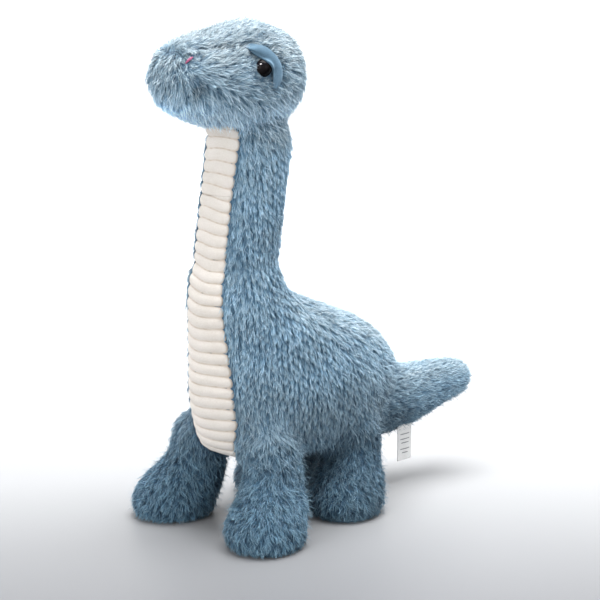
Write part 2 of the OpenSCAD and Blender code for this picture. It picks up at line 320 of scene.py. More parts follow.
def make_skin():
    """One smooth skin over all the soft bodies, with rounded hollows."""
    hard = ("eye", "nostril", "label")
    soft = [o.data for n, o in NODES.items() if not n.startswith(hard) and "sole" not in n]
    mesh = largest_part(remeshed(joined(soft + [rump_pad()]), FIRST_VOXEL))
    set_points(mesh, points_of(mesh) + normals_of(mesh) * FILLET)
    mesh = remeshed(mesh, FIRST_VOXEL)
    set_points(mesh, relax(points_of(mesh), edges_of(mesh), 3))
    set_points(mesh, points_of(mesh) - normals_of(mesh) * (FILLET - PILE_BASE))
    mesh = largest_part(remeshed(mesh, VOXEL))
    points = relax(points_of(mesh), edges_of(mesh), 6)
    points[:, :2] += leg_shift(points)
    z = points[:, 2]
    hips = ease(z, 44 * MM, 58 * MM) * (1 - ease(z, 84 * MM, 100 * MM))
    set_points(mesh, relax(points, edges_of(mesh), 20, 0.5 * hips[:, None], 0.0))
    set_points(mesh, creased(points_of(mesh), normals_of(mesh)))
    points = relax(points_of(mesh), edges_of(mesh), 1)
    points[:, 2] = np.maximum(points[:, 2], FLOOR_GAP)
    set_points(mesh, points)
    return mesh


skin = make_skin()
SKIN_POINTS, SKIN_NORMALS, SKIN_QUADS = points_of(skin), normals_of(skin), quads_of(skin)
SKIN_TREE = BVHTree.FromPolygons(SKIN_POINTS.tolist(), SKIN_QUADS.tolist())


def onto_skin(origin, direction):
    """Where a ray meets the skin, and the normal there."""
    place, normal, face, _ = SKIN_TREE.ray_cast(Vector(origin), Vector(direction))
    if place is None:
        return None, None
    corners = SKIN_QUADS[face]
    weight = 1 / (norm(SKIN_POINTS[corners] - np.array(place), axis=1) + 1e-5)
    return np.array(place), unit(weight @ SKIN_NORMALS[corners])


# ---- pieces of the skin

LEG_PLACE = {leg: PIVOT[leg + "_swing"] for leg in LEGS}


def piece_of(points):
    """The name of the piece of the skin that each point is in."""
    names = np.full(len(points), "torso_front_left", dtype="U20")
    x, y, z = points.T
    left = x >= 0
    front = y < TORSO_SPLIT
    names[~left & front] = "torso_front_right"
    names[left & ~front] = "torso_rear_left"
    names[~left & ~front] = "torso_rear_right"
    neck = (z > NECK_FOOT + 0.25 * np.maximum(y - PIVOT["neck_bend"][1], 0)) & (y < NECK_BACK)
    names[neck] = "neck"
    names[(z > NECK_TOP) & left] = "head_left"
    names[(z > NECK_TOP) & ~left] = "head_right"
    names[(y > TAIL_FRONT) & (z > TAIL_HEIGHTS[0]) & (z < TAIL_HEIGHTS[1])] = "tail"
    for leg, (px, py, _) in LEG_PLACE.items():
        near = (z < LEG_TOP) & (x * np.sign(px) > np.where(z < CROTCH, 2 * MM, 13 * MM))
        near &= (y > py - LEG_REACH) & (y < LEG_SPLIT) if "front" in leg else (y >= LEG_SPLIT)
        near &= (y < LEG_BACK) | (z < HEEL_TOP)
        names[near] = leg
    return names


# ---- the way the fur lies

# Left-side places and the way the fur is combed there
COMB = [
    # snout, top of the head, nape
    (0, -142, 318, 0, -0.2, -1), (12, -139, 314, 0.25, -0.1, -1), (0, -130, 334, 0, 0.3, 0.6),
    (9, -134, 328, 0.3, 0.2, -0.9), (0, -112, 342, 0, 1, 0.2), (0, -80, 349, 0, 1, 0),
    (18, -95, 342, 0.15, 1, 0), (20, -60, 342, 0.1, 1, -0.3), (0, -46, 335, 0, 0.6, -0.8),
    (0, -38, 305, 0, 0.1, -1), (22, -42, 305, 0, 0.2, -1),
    # cheek, jaw, chin
    (22, -126, 318, 0.2, 1, 0.05), (30, -110, 318, 0.1, 1, 0), (33, -98, 318, 0, 1, 0),
    (30, -100, 334, 0.1, 1, 0.1), (35, -90, 306, 0, 1, -0.25), (34, -66, 314, 0, 1, -0.35),
    (34, -66, 296, 0, 0.5, -0.9), (24, -122, 298, 0.2, 0.4, -0.9), (30, -100, 292, 0.1, 0.3, -1),
    (12, -138, 296, 0.1, 0.1, -1), (0, -140, 298, 0, 0.1, -1), (0, -120, 284, 0, 0.8, -0.4),
    (20, -110, 283, 0.1, 0.5, -0.9), (32, -82, 283, 0, 0.25, -1), (16, -95, 276, 0.05, 0.2, -1),
    # neck
    (27, -72, 250, 0, 0.1, -1), (0, -40, 250, 0, 0.15, -1), (18, -95, 235, 0.05, 0, -1),
    (28, -78, 200, 0.1, -0.1, -1), (0, -50, 205, 0, 0.3, -1), (18, -104, 180, 0.1, -0.15, -1),
    (26, -60, 215, 0.05, 0.15, -1), (20, -98, 215, 0.1, -0.2, -1),
    # back and flanks
    (0, -28, 175, 0, 0.75, -0.6), (18, -30, 170, 0.1, 0.7, -0.8), (32, -60, 160, 0.15, 0.1, -1),
    (40, -85, 130, 0.1, -0.25, -1), (28, -108, 110, 0.2, -0.2, -1), (0, 12, 150, 0, 0.8, -0.6),
    (30, 0, 140, 0.15, 0.7, -0.8), (44, -40, 120, 0.05, 0.15, -1), (46, -60, 90, 0, -0.25, -1),
    (46, -20, 80, 0, -0.05, -1), (44, 10, 105, 0, 0.3, -1), (44, 20, 70, 0, 0.1, -1),
    (38, 38, 95, 0, 0.6, -0.8), (0, 48, 118, 0, 0.8, -0.6), (22, 50, 105, 0, 0.8, -0.6),
    (0, -30, 47, 0, 1, 0), (0, 30, 47, 0, 1, 0), (20, -60, 52, 0, 0.6, -0.5),
    # legs
    (57, -85, 55, 0.1, 0, -1), (45, -103, 45, 0.1, -0.1, -1), (57, 0, 55, 0.1, 0.1, -1),
    (45, -18, 45, 0.1, -0.1, -1), (40, 18, 45, 0, 0.1, -1), (22, -85, 40, 0, 0, -1),
    (22, 0, 40, 0, 0, -1),
]
COMB_REACH = 8 * MM
PARTING = np.array([0, -137, 326]) * MM  # on the tip of the snout the fur stands every way


def comb_table():
    places, ways = [], []
    for x, y, z, dx, dy, dz in COMB:
        for side in (1, -1):
            places.append((side * x * MM, y * MM, z * MM))
            ways.append((side * dx, dy, dz))
    tail, along = PIVOT["tail_wag"], TAIL_WAY
    for step in (20, 45, 70, 95, 115):
        for around in range(6):
            turn = radians(60 * around)
            ring = np.array([cos(turn), 0, sin(turn)]) * 20 * MM
            places.append(tail + along * step * MM + ring)
            ways.append(along + [0, 0, -0.12])
    return np.array(places), unit(np.array(ways))


# Direction of the tail, from its root to the middle of its farthest part
TAIL_POINTS = np.concatenate([points_of(NODES["tail_side_" + side].data) for side in SIDES])
TAIL_TIP = TAIL_POINTS[TAIL_POINTS[:, 1] > TAIL_POINTS[:, 1].max() - 6 * MM].mean(0)
TAIL_WAY = unit((TAIL_TIP - PIVOT["tail_wag"]) * [1, 1, 0])
COMB_PLACES, COMB_WAYS = comb_table()


def combed(points, normals):
    """The way the fur lies at points, in the plane of the skin."""
    way = np.empty_like(points)
    for start in range(0, len(points), 4000):
        part = points[start:start + 4000]
        far = ((part[:, None, :] - COMB_PLACES[None]) ** 2).sum(2)
        way[start:start + 4000] = (1 / (far + COMB_REACH ** 2) ** 2) @ COMB_WAYS
    way = unit(way)
    for leg, (px, py, _) in LEG_PLACE.items():
        foot = np.array([px + copysign(6 * MM, px), py - 12 * MM, 0])
        out = unit((points - foot) * [1, 1, 0])
        near = (norm((points - foot)[:, :2], axis=1) < 45 * MM) & (points[:, 2] < 40 * MM)
        share = near * (1 - ease(points[:, 2], 4 * MM, 30 * MM)) * 0.75
        way = unit(way + share[:, None] * (out * 1.1 + [0, 0, 0.25]))
    return unit(way - (way * normals).sum(1, keepdims=True) * normals)


# ---- eyes in the frame

EYE_RISE = 5 * MM
EYE_RADIUS = 6.1 * MM  # of the sphere that the dome is cut from
EYE_CLEAR = 7.0 * MM  # no fur roots within this distance of the middle of an eye
EYE_TURN, EYE_TILT = radians(10), radians(4)  # how far an eye faces forward and up
DOME_DEPTH = 5.4 * MM


def eye_axes(side):
    """Centre of an eye's rim and its axes: forward, up and out of the head."""
    points = points_of(NODES["eye_" + side].data)
    sign = SIDES[side]
    aside = np.abs(points[:, 0])
    rim = points[aside > aside.max() - DOME_DEPTH]
    out = unit(np.array([sign * cos(EYE_TURN), -sin(EYE_TURN), sin(EYE_TILT)]))
    up = unit(np.array([0, 0, 1.0]) - out[2] * out)
    forward = np.cross(out, up) * sign
    centre = (rim.min(0) + rim.max(0)) / 2
    top = (points @ out).max()
    centre = centre + out * (top - EYE_RISE - centre @ out)
    return centre, forward, up, out


EYES = {side: eye_axes(side) for side in SIDES}

# Edges of the eyelid from its front tip over the top to its back tip: forward and up from the eye
LID_OUTER = [
    (10, 14.4), (5.4, 16.2), (-1.4, 15), (-7.7, 10.4),
    (-11.9, 4.2), (-13.3, -2), (-12.2, -9), (-8.2, -13.6),
]
LID_INNER = [
    (9.6, 11.9), (6.9, 9.2), (3.8, 7.1), (-0.4, 4.2),
    (-4.5, -0.8), (-5.4, -5.5), (-5.6, -9.3), (-5.6, -13.2),
]
LID_THICK = 1.2 * MM


def curve_point(points, share):
    """A point on the smooth curve through points."""
    points = np.asarray(points, float)
    last = len(points) - 1
    i = min(int(share * last), last - 1)
    u = share * last - i
    a, b, c, d = points[max(i - 1, 0)], points[i], points[i + 1], points[min(i + 2, last)]
    bend, twist = 2 * a - 5 * b + 4 * c - d, 3 * b - a - 3 * c + d
    return 0.5 * (2 * b + (c - a) * u + bend * u * u + twist * u ** 3)


def lid_flat(along, across):
    """A point of the eyelid in the flat; across is 0 on its outer edge and 1 on its inner edge."""
    outer = curve_point(LID_OUTER, along)
    return outer + (curve_point(LID_INNER, along) - outer) * across


def inside(flat, outline):
    """Whether an outline goes round the points."""
    found = np.zeros(len(flat), bool)
    for (ax, ay), (bx, by) in zip(outline, np.roll(outline, -1, axis=0)):
        spans = (ay > flat[:, 1]) != (by > flat[:, 1])
        cross = ax + (bx - ax) * (flat[:, 1] - ay) / (by - ay if by != ay else 1e-12)
        found ^= spans & (flat[:, 0] < cross)
    return found


def near_eye(points):
    """Whether a lid or an eye covers the points, and how near they are to an eye."""
    covered = np.zeros(len(points), bool)
    near = np.full(len(points), 1e9)
    shares = np.linspace(0, 1, 30)
    lid = [curve_point(LID_OUTER, s) for s in shares] + [curve_point(LID_INNER, s) for s in shares[::-1]]
    lid = np.array(lid) * MM
    for centre, forward, up, out in EYES.values():
        offset = points - centre
        flat = np.stack([offset @ forward, offset @ up], 1)
        close = np.abs(offset @ out) < 14 * MM
        distance = norm(flat, axis=1)
        covered |= close & (distance < EYE_CLEAR)
        covered |= close & inside(flat, lid)
        # the fur in front of the eye lies towards it, and is short over a greater distance
        distance = distance - 4 * MM * np.clip(flat[:, 0] / (12 * MM), 0, 1)
        near = np.where(close, np.minimum(near, distance), near)
    return covered, near


def nostril_ends(side):
    """The two ends of a nostril's stitches."""
    inner, outer = (np.array(corner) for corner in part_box("nostril_" + side))
    if SIDES[side] < 0:
        inner[0], outer[0] = outer[0], inner[0]
    return inner, outer


def nostril_far(points):
    """How far points are from the nearer nostril."""
    paths = [[end / MM for end in nostril_ends(side)] for side in SIDES]
    return np.minimum(path_distance(points, paths[0]), path_distance(points, paths[1]))


# ---- materials

def colour(r, g, b):
    """Linear colour from sRGB values of 0 to 255."""
    linear = [((c / 255 + 0.055) / 1.055) ** 2.4 if c > 10 else c / 255 / 12.92 for c in (r, g, b)]
    return (*linear, 1)


def grey(value):
    return (value, value, value, 1)


class Shader:
    """A node material, with short names for its nodes."""

    def __init__(self, name, roughness=0.6, **sockets):
        self.material = bpy.data.materials.new(name)
        self.material.use_nodes = True
        self.tree = self.material.node_tree
        self.surface = self.tree.nodes["Principled BSDF"]
        for key, value in {"Roughness": roughness, **sockets}.items():
            self.surface.inputs[key.replace("_", " ")].default_value = value

    def node(self, kind, inputs=None, **settings):
        node = self.tree.nodes.new("ShaderNode" + kind)
        for key, value in settings.items():
            setattr(node, key, value)
        for key, value in (inputs or {}).items():
            if isinstance(value, bpy.types.NodeSocket):
                self.tree.links.new(value, node.inputs[key])
            else:
                node.inputs[key].default_value = value
        return node

    def place(self, scale=(1, 1, 1)):
        where = self.node("TexCoord")
        return self.node("Mapping", {"Vector": where.outputs["Object"], "Scale": scale}).outputs["Vector"]

    def noise(self, scale, detail=4.0, place=None, roughness=0.55):
        inputs = {"Vector": place or self.place(), "Scale": scale, "Detail": detail, "Roughness": roughness}
        return self.node("TexNoise", inputs).outputs["Fac"]

    def ramp(self, value, *stops):
        node = self.node("ValToRGB", {"Fac": value})
        bar = node.color_ramp.elements
        while len(bar) < len(stops):
            bar.new(0.5)
        for element, (position, shade) in zip(bar, stops):
            element.position = position
            element.color = shade
        return node.outputs["Color"]

    def mix(self, share, a, b, blend="MIX"):
        node = self.node("MixRGB", {"Fac": share, "Color1": a, "Color2": b}, blend_type=blend)
        return node.outputs["Color"]

    def math(self, operation, a, b):
        return self.node("Math", {0: a, 1: b}, operation=operation).outputs["Value"]

    def bump(self, height, distance, strength=1.0):
        made = self.node("Bump", {"Height": height, "Distance": distance, "Strength": strength})
        self.tree.links.new(made.outputs["Normal"], self.surface.inputs["Normal"])

    def link(self, socket, name="Base Color"):
        self.tree.links.new(socket, self.surface.inputs[name])


# Colours of a strand's root, middle and tip; the dark roots and the darker short down are painted shade at
# the foot of the fur, and the pale tips are partly the fur's own colour and partly painted highlight
FUR_TINTS, DOWN_TINTS, GUARD_TINTS = (np.array([colour(*c)[:3] for c in tints]) for tints in (
    ((60, 91, 115), (106, 143, 167), (182, 206, 217)),
    ((50, 78, 102), (82, 117, 142), (112, 148, 170)),
    ((120, 150, 169), (158, 184, 200), (188, 208, 220)),
))


def fur_material():
    made = Shader("blue_fur", 0.55, Sheen_Tint=colour(228, 238, 244), **gloss(0.5, 0.35, 0.4))
    # the strands' tints hold the fur's tone with its painted light and shade
    tint = made.node("Attribute", attribute_name="fur_tint_and_light").outputs["Color"]
    cloud = made.noise(26.0, 3.0)
    shade = made.ramp(cloud, (0.3, (0.9, 0.93, 0.95, 1)), (0.7, (1.08, 1.05, 1.03, 1)))
    made.link(made.mix(1.0, tint, shade, "MULTIPLY"))
    return made.material


def bib_material():
    """Cream velour with a short nap."""
    made = Shader("cream_velour", 0.85, Sheen_Tint=colour(255, 250, 244), **gloss(0.2, 0.35, 0.5))
    weave = made.noise(2600.0, 2.0, made.place((0.35, 1, 1)))
    cloud = made.noise(60.0, 3.0)
    cream = [colour(230, 223, 214), colour(238, 232, 224), colour(242, 235, 229)]
    base = made.ramp(cloud, *zip((0.3, 0.5, 0.72), cream))
    nap = made.ramp(weave, (0.3, colour(216, 206, 194)), (0.7, colour(248, 243, 237)))
    base = made.mix(0.35, base, nap)
    # painted shade: the grooves between the ribs, and the bib's edges, are darker
    groove_shade_mask = made.node("Attribute", attribute_name="rib_height").outputs["Fac"]
    shade = made.ramp(groove_shade_mask, (0.0, colour(212, 200, 190)), (0.4, colour(241, 235, 229)), (0.6, grey(1)))
    made.link(made.mix(1.0, base, shade, "MULTIPLY"))
    made.bump(weave, 0.25 * MM, 0.8)
    return made.material


def suede_material():
    made = Shader("blue_suede", 0.85, Sheen_Tint=colour(190, 215, 232), **gloss(0.15, 0.2, 0.5))
    nap = made.noise(1800.0, 4.0)
    cloud = made.noise(240.0, 2.0)
    base = made.ramp(cloud, (0.3, colour(92, 122, 144)), (0.7, colour(108, 138, 160)))
    base = made.mix(0.4, base, made.ramp(nap, (0.3, colour(78, 108, 130)), (0.7, colour(128, 156, 176))))
    # painted shade: the suede darkens towards the top of the lid, over the brow
    high = made.node("SeparateXYZ", {"Vector": made.place()}).outputs["Z"]
    eye = EYES["left"][0][2]
    heights = {"Value": high, "From Min": eye - 4 * MM, "From Max": eye + 9 * MM}
    rise = made.node("MapRange", heights).outputs["Result"]
    top_painted_shade = made.ramp(rise, (0.0, grey(1)), (1.0, (0.45, 0.5, 0.52, 1)))
    made.link(made.mix(1.0, base, top_painted_shade, "MULTIPLY"))
    made.bump(nap, 0.2 * MM, 0.7)
    return made.material


def eye_material():
    """Polished black plastic."""
    made = Shader("eye_gloss", 0.05, Specular_IOR_Level=0.05)
    # painted reflection: faint brownish mottling in the black
    depth = made.noise(180.0, 2.0)
    made.link(made.ramp(depth, (0.35, colour(3, 3, 5)), (0.7, colour(10, 8, 8))))
    return made.material


def grained(name, roughness, scale, detail, dark, light, raised=(), stretch=(1, 1, 1), **sockets):
    """A material with a fine grain; raised is the depth and strength of its bump."""
    made = Shader(name, roughness, **sockets)
    grain = made.noise(scale, detail, made.place(stretch))
    made.link(made.ramp(grain, (0.3, colour(*dark)), (0.7, colour(*light))))
    if raised:
        made.bump(grain, *raised)
    return made.material


def gloss(specular, sheen, roughness):
    """The sockets for a cloth's shine."""
    return {"Specular_IOR_Level": specular, "Sheen_Weight": sheen, "Sheen_Roughness": roughness}


FUR, BIB, SUEDE, EYE = fur_material(), bib_material(), suede_material(), eye_material()
# The backing at the foot of the fur; its dark blue is painted shade where it shows between the tufts
BACKING = grained(
    "fur_backing", 0.9, 1400, 3, (52, 80, 104), (100, 134, 158), (0.6 * MM,), **gloss(0.15, 0.2, 0.6)
)
WASHER = grained("washer_plastic", 0.45, 900, 3, (222, 222, 218), (240, 240, 238), (0.05 * MM, 0.5))
THREAD = grained(
    "pink_thread", 0.55, 2200, 2, (160, 74, 112), (208, 120, 156), (0.15 * MM, 0.8), **gloss(0.4, 0.3, 0.4)
)
LABEL = grained(
    "label_satin", 0.5, 3000, 2, (236, 236, 234), (250, 250, 249), (0.08 * MM, 0.6), (1, 0.3, 1),
    **gloss(0.35, 0.15, 0.5)
)
PRINT = grained("label_print", 0.6, 1500, 2, (104, 106, 110), (140, 142, 146))


# ---- the bib

# Middle of the body from the throat to the belly: y, z and degrees that the bib faces down there
BIB_SPINE = [
    (-70, 282, 0), (-74, 250, 0), (-78, 220, 0), (-79, 190, 0), (-74, 160, 0), (-68, 130, 0), (-62, 105, 4),
    (-62, 88, 20), (-66, 76, 45), (-68, 70, 68), (-68, 68, 84),
]
# Half width of the bib by height
BIB_HEIGHTS = [40, 50, 58, 68, 78, 103, 149, 186, 230, 284]
BIB_WIDTHS = [10, 14, 18, 21.5, 23.2, 22.7, 18.6, 15.8, 15.2, 16.4]


def bib_ray(share):
    y, z, down = curve_point(BIB_SPINE, share)
    angle = radians(down)
    return np.array([0, y * MM, z * MM]), np.array([0, -cos(angle), -sin(angle)])


def bib_shares():
    """Places along the spine that meet the skin a step apart, and how far along they are."""
    shares = np.linspace(0, 1, 500)
    hits = np.array([onto_skin(*bib_ray(s))[0] for s in shares])
    length = np.concatenate([[0], np.cumsum(norm(np.diff(hits, axis=0), axis=1))])
    steps = np.arange(0, length[-1], BIB_STEP)
    return np.interp(steps, length, shares), steps


def make_bib_grid():
    """The bib on the skin, the way that it faces and the height of its ribs."""
    shares, steps = bib_shares()
    places, normals, ribs = [], [], []
    for share, step in zip(shares, steps):
        origin, way = bib_ray(share)
        middle, _ = onto_skin(origin, way)
        half = np.interp(middle[2] / MM, BIB_HEIGHTS, BIB_WIDTHS) * MM
        aside = BIB_ASIDE * ease(middle[2], 100 * MM, 150 * MM)
        slant = 0.10 + 0.16 * step / steps[-1]
        for across in np.linspace(-1, 1, BIB_COLUMNS):
            bend = 0.10 * sin(3.1 * across + step / (31 * MM))
            bend += 0.05 * sin(step / (9 * MM) - 2 * across)
            rib = abs(sin(pi * (step / RIB + bend - slant * across))) ** RIB_ROUND
            notch = 1 - 1.3 * MM / half * (1 - rib)
            place, normal = onto_skin(origin + [across * (half + aside) * notch - aside, 0, 0], way)
            places.append(place)
            normals.append(normal)
            ribs.append(rib * (1 - abs(across) ** 10))
    shape = (len(shares), BIB_COLUMNS)
    return [np.array(values).reshape(*shape, -1) for values in (places, normals, ribs)]


def grid_mesh(name, grid):
    rows, columns = grid.shape[:2]
    index = np.arange(rows * columns).reshape(rows, columns)
    quads = np.stack([index[:-1, :-1], index[1:, :-1], index[1:, 1:], index[:-1, 1:]], -1)
    return build_mesh(name, grid.reshape(-1, 3), [quads.reshape(-1, 4)])


def thick(mesh, depth):
    """A sheet given its thickness inwards."""
    made = modified(mesh, "SOLIDIFY", thickness=depth, offset=-1.0, use_even_offset=False)
    made.shade_smooth()
    return made


def make_bib(name, rows, body_a, body_b, start, end, nodes):
    ribs = BIB_RIBS[rows]
    flat = grid_mesh(name, BIB_SKIN[rows] + BIB_NORMALS[rows] * (RIB_HEIGHT * ribs - BIB_SUNK))
    heights = flat.attributes.new("rib_height", "FLOAT", "POINT")
    write(heights.data, "value", ribs)
    mesh = thick(flat, BIB_THICK)
    piece = add_object(name, mesh, BIB)
    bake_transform(piece)
    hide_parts(*nodes)


# Two bodies, and where the bend between them starts and ends
NECK_BLEND = ("torso", "neck", (0, PIVOT["neck_bend"][1], 0.166), (0, PIVOT["neck_bend"][1], 0.222))
HEAD_BLEND = ("neck", "head", (0, PIVOT["head_nod"][1], 0.237), (0, PIVOT["head_nod"][1], 0.280))

BIB_SKIN, BIB_NORMALS, BIB_RIBS = make_bib_grid()
BIB_ROW = int(np.argmax(BIB_SKIN[:, BIB_COLUMNS // 2, 2] < NECK_TOP))
make_bib("throat_bib", slice(0, BIB_ROW + 1), *HEAD_BLEND, [])
make_bib("chest_bib", slice(BIB_ROW, None), *NECK_BLEND, ["neck_bib", "belly_panel"])
BIB_QUADS = quads_of(grid_mesh("bib_test", BIB_SKIN))
BIB_TREE = BVHTree.FromPolygons(BIB_SKIN.reshape(-1, 3).tolist(), BIB_QUADS.tolist())


BIB_CLEAR = 0.9 * MM  # fur roots at least this far from the edge of the bib


def on_bib(points):
    """True where the bib covers the skin."""
    return np.array([BIB_TREE.find_nearest(Vector(p), BIB_CLEAR)[0] is not None for p in points])


# ---- fur

FULL = ((0.0, 1.0), (0.4, 0.9), (0.75, 0.6), (1.0, 0.0))  # places along a strand and its width there
SHORT = ((0.0, 1.0), (0.5, 0.8), (1.0, 0.0))


def strands(lie, count, stations, tints, long, lift, radius, clump, wide, sway, curl=0.85):
    """Strands as tapered ribbons: the root of each, its points and their tints.

    lie holds the roots' middles, the normals, the combed ways, the tones and how far the tone varies.
    The strands of a root stand within radius, close up by clump and stray by sway.
    """
    centres, normals, ways, tone, vary = lie
    owner = np.repeat(np.arange(len(centres)), count)
    total = len(owner)
    side = np.cross(normals, ways)[owner]
    normal, way = normals[owner], ways[owner]
    far = radius * np.sqrt(RNG.random(total))
    turn = RNG.random(total) * 2 * np.pi
    spread = (far * np.cos(turn))[:, None] * way + (far * np.sin(turn))[:, None] * side
    root = centres[owner] + spread
    way = unit(way + RNG.normal(0, sway, total)[:, None] * side)
    long = (long[owner] * RNG.uniform(0.75, 1.15, total))[:, None]
    rise = np.clip(np.sin(lift[owner]) * RNG.uniform(0.65, 1.35, total), 0, 0.95)[:, None]
    flat = np.sqrt(1 - rise ** 2)
    roll = RNG.normal(0, 0.6, total)[:, None]
    across = unit(side * np.cos(roll) + normal * np.sin(roll))
    across *= (0.5 * wide * RNG.uniform(0.7, 1.3, total))[:, None]
    vary = vary[owner][:, None]
    mixed = RNG.uniform(0.8, 1.2, total) * np.where(RNG.random(total) < 0.12, 1.35, 1)
    bright = tone[owner] * (1 + (mixed[:, None] - 1) * vary)
    points, shades = [], []
    for share, width in stations:
        lean = long * share * (way * flat + normal * rise * (1.25 - curl * share))
        middle = root - spread * (clump * share ** 1.2) + lean
        shade = np.array([np.interp(share, (0, 0.5, 1), tints[:, k]) for k in range(3)])
        shade = (tints.mean(0) + (shade - tints.mean(0)) * vary) * bright
        for edge in (-1, 1) if width else (0,):
            points.append(middle + across * edge * width)
            shades.append(shade)
    points = np.stack(points, 1)
    points[..., 2] = np.maximum(points[..., 2], FLOOR_GAP)
    return owner, points, np.stack(shades, 1)


def fur_mesh(name, groups):
    """One mesh of all the strands in groups."""
    quads, tips, start = [], [], 0
    for points, _ in groups:
        count, each = points.shape[:2]
        base = start + (np.arange(count) * each)[:, None]
        quads += [base + [k, k + 1, k + 3, k + 2] for k in range(0, each - 3, 2)]
        tips.append(base + [each - 3, each - 2, each - 1])
        start += count * each
    mesh = build_mesh(name, np.concatenate([p.reshape(-1, 3) for p, _ in groups]), quads + tips)
    tint = mesh.color_attributes.new("fur_tint_and_light", "FLOAT_COLOR", "POINT")
    shades = np.concatenate([s.reshape(-1, 3) for _, s in groups])
    write(tint.data, "color", np.insert(shades, 3, 1, 1))
    return mesh


def spread_out(points, gap):
    """Numbers of points that keep a gap between them, taken in their order."""
    cells, kept = {}, []
    steps = (np.array(list(np.ndindex(3, 3, 3))) - 1).tolist()
    for i, (key, point) in enumerate(zip(np.floor(points / gap).astype(int).tolist(), points.tolist())):
        near = (other for a, b, c in steps for other in cells.get((key[0] + a, key[1] + b, key[2] + c), ()))
        if all(dist(point, other) > gap for other in near):
            cells.setdefault(tuple(key), []).append(point)
            kept.append(i)
    return np.array(kept)


def flank_rows():
    """Slanting rows of places on the flanks and neck, and their normals."""
    found = []
    for sign in (1, -1):
        for i, y in enumerate(np.arange(*ROWS_ALONG, ROW_STEP[0])):
            for z in np.arange(*ROWS_UP, ROW_STEP[1]) + (i * ROW_SHIFT % 1) * ROW_STEP[1]:
                y_off, z_off = RNG.normal(0, ROW_STRAY, 2)
                place, normal = onto_skin((sign * OUTSIDE, y + y_off, z + z_off), (-sign, 0, 0))
                if place is not None and abs(normal[0]) > 0.5 and place[0] * sign > 6 * MM:
                    found.append([*place, *normal])
    return np.array(found)


def scattered():
    """A place on each face of the skin, in any order, with the normal there."""
    corners = SKIN_POINTS[SKIN_QUADS]
    u, v = RNG.random((2, len(corners), 1))
    low = corners[:, 0] * (1 - u) + corners[:, 1] * u
    high = corners[:, 3] * (1 - u) + corners[:, 2] * u
    normals = unit(SKIN_NORMALS[SKIN_QUADS].mean(1))
    return RNG.permutation(np.concatenate([low * (1 - v) + high * v, normals], 1))


# Tone of the fur by height, as painted light and shade: darker low down and lighter high up, where the
# light falls from above
PAINTED_LIGHT_HEIGHTS = [0, 30, 75, 110, 262, 285, 320]
PAINTED_LIGHT_TONES = [0.61, 0.61, 0.90, 1.44, 1.50, 1.66, 1.26]
CREASE_FULL = 3.2  # depth of a crease that is fully shaded
# Hues of the painted shade low down and of the painted light on the head and on lit tops
SHADED_HUE, LIT_HUE = [0.83, 1.05, 1.16], [1.09, 0.92, 0.83]


def tone_with_painted_light(points, normals):
    """The tone of the fur with its painted light and shade, and how creased it is."""
    x, y, z = (points / MM).T
    tone = 1 + 0.04 * np.sin(x / 9 + z / 14) + 0.05 * np.sin(y / 11 - z / 8) + 0.04 * np.sin(z / 5 + x / 4)
    tone *= np.interp(z, PAINTED_LIGHT_HEIGHTS, PAINTED_LIGHT_TONES)
    tone *= 1 - 0.24 * ease(y, -40, -10) * (1 - ease(z, 50, 75))
    head = ease(z, 262, 275)
    # painted bounce light: the underside of the head is lighter where it faces down; the tip of the snout
    # is lighter too
    tone *= 1 + head * (0.25 * ease(-y, 118, 136) + 0.45 * ease(-normals[:, 2], 0.0, 0.7))
    tone *= 1 + 0.4 * ease(y, 60, 80)
    # painted shade: the fur darkens in the creases
    crease = np.zeros(len(z))
    for path, depth, width in CREASES:
        crease = np.maximum(crease, near_path(folded_over(points), path, width) * depth / CREASE_FULL)
    # painted light: fur that faces up high on the body, and the head, turn paler; painted shade gives the
    # fur low down a deeper hue
    above = ease(normals[:, 2], 0.1, 0.8) * np.maximum(ease(z, 85, 115), ease(y, 35, 55))
    pale = np.clip(0.5 * head + 0.8 * above, 0, 1)[:, None]
    shaded_low = (1 - ease(z, 30, 80))[:, None]
    pale *= 1 - 0.9 * shaded_low
    hue = (1 - pale) * (1 - shaded_low) * [1, 1, 1] + (1 - pale) * shaded_low * SHADED_HUE + pale * LIT_HUE
    return (tone * (1 - 0.4 * crease))[:, None] * hue, crease


# Length of the fur by height
PILE_HEIGHTS = [0, 20, 60, 150, 240, 290, 350]
PILE_LENGTHS = [8.0, 9.0, 9.0, 8.2, 7.6, 9.4, 10.0]


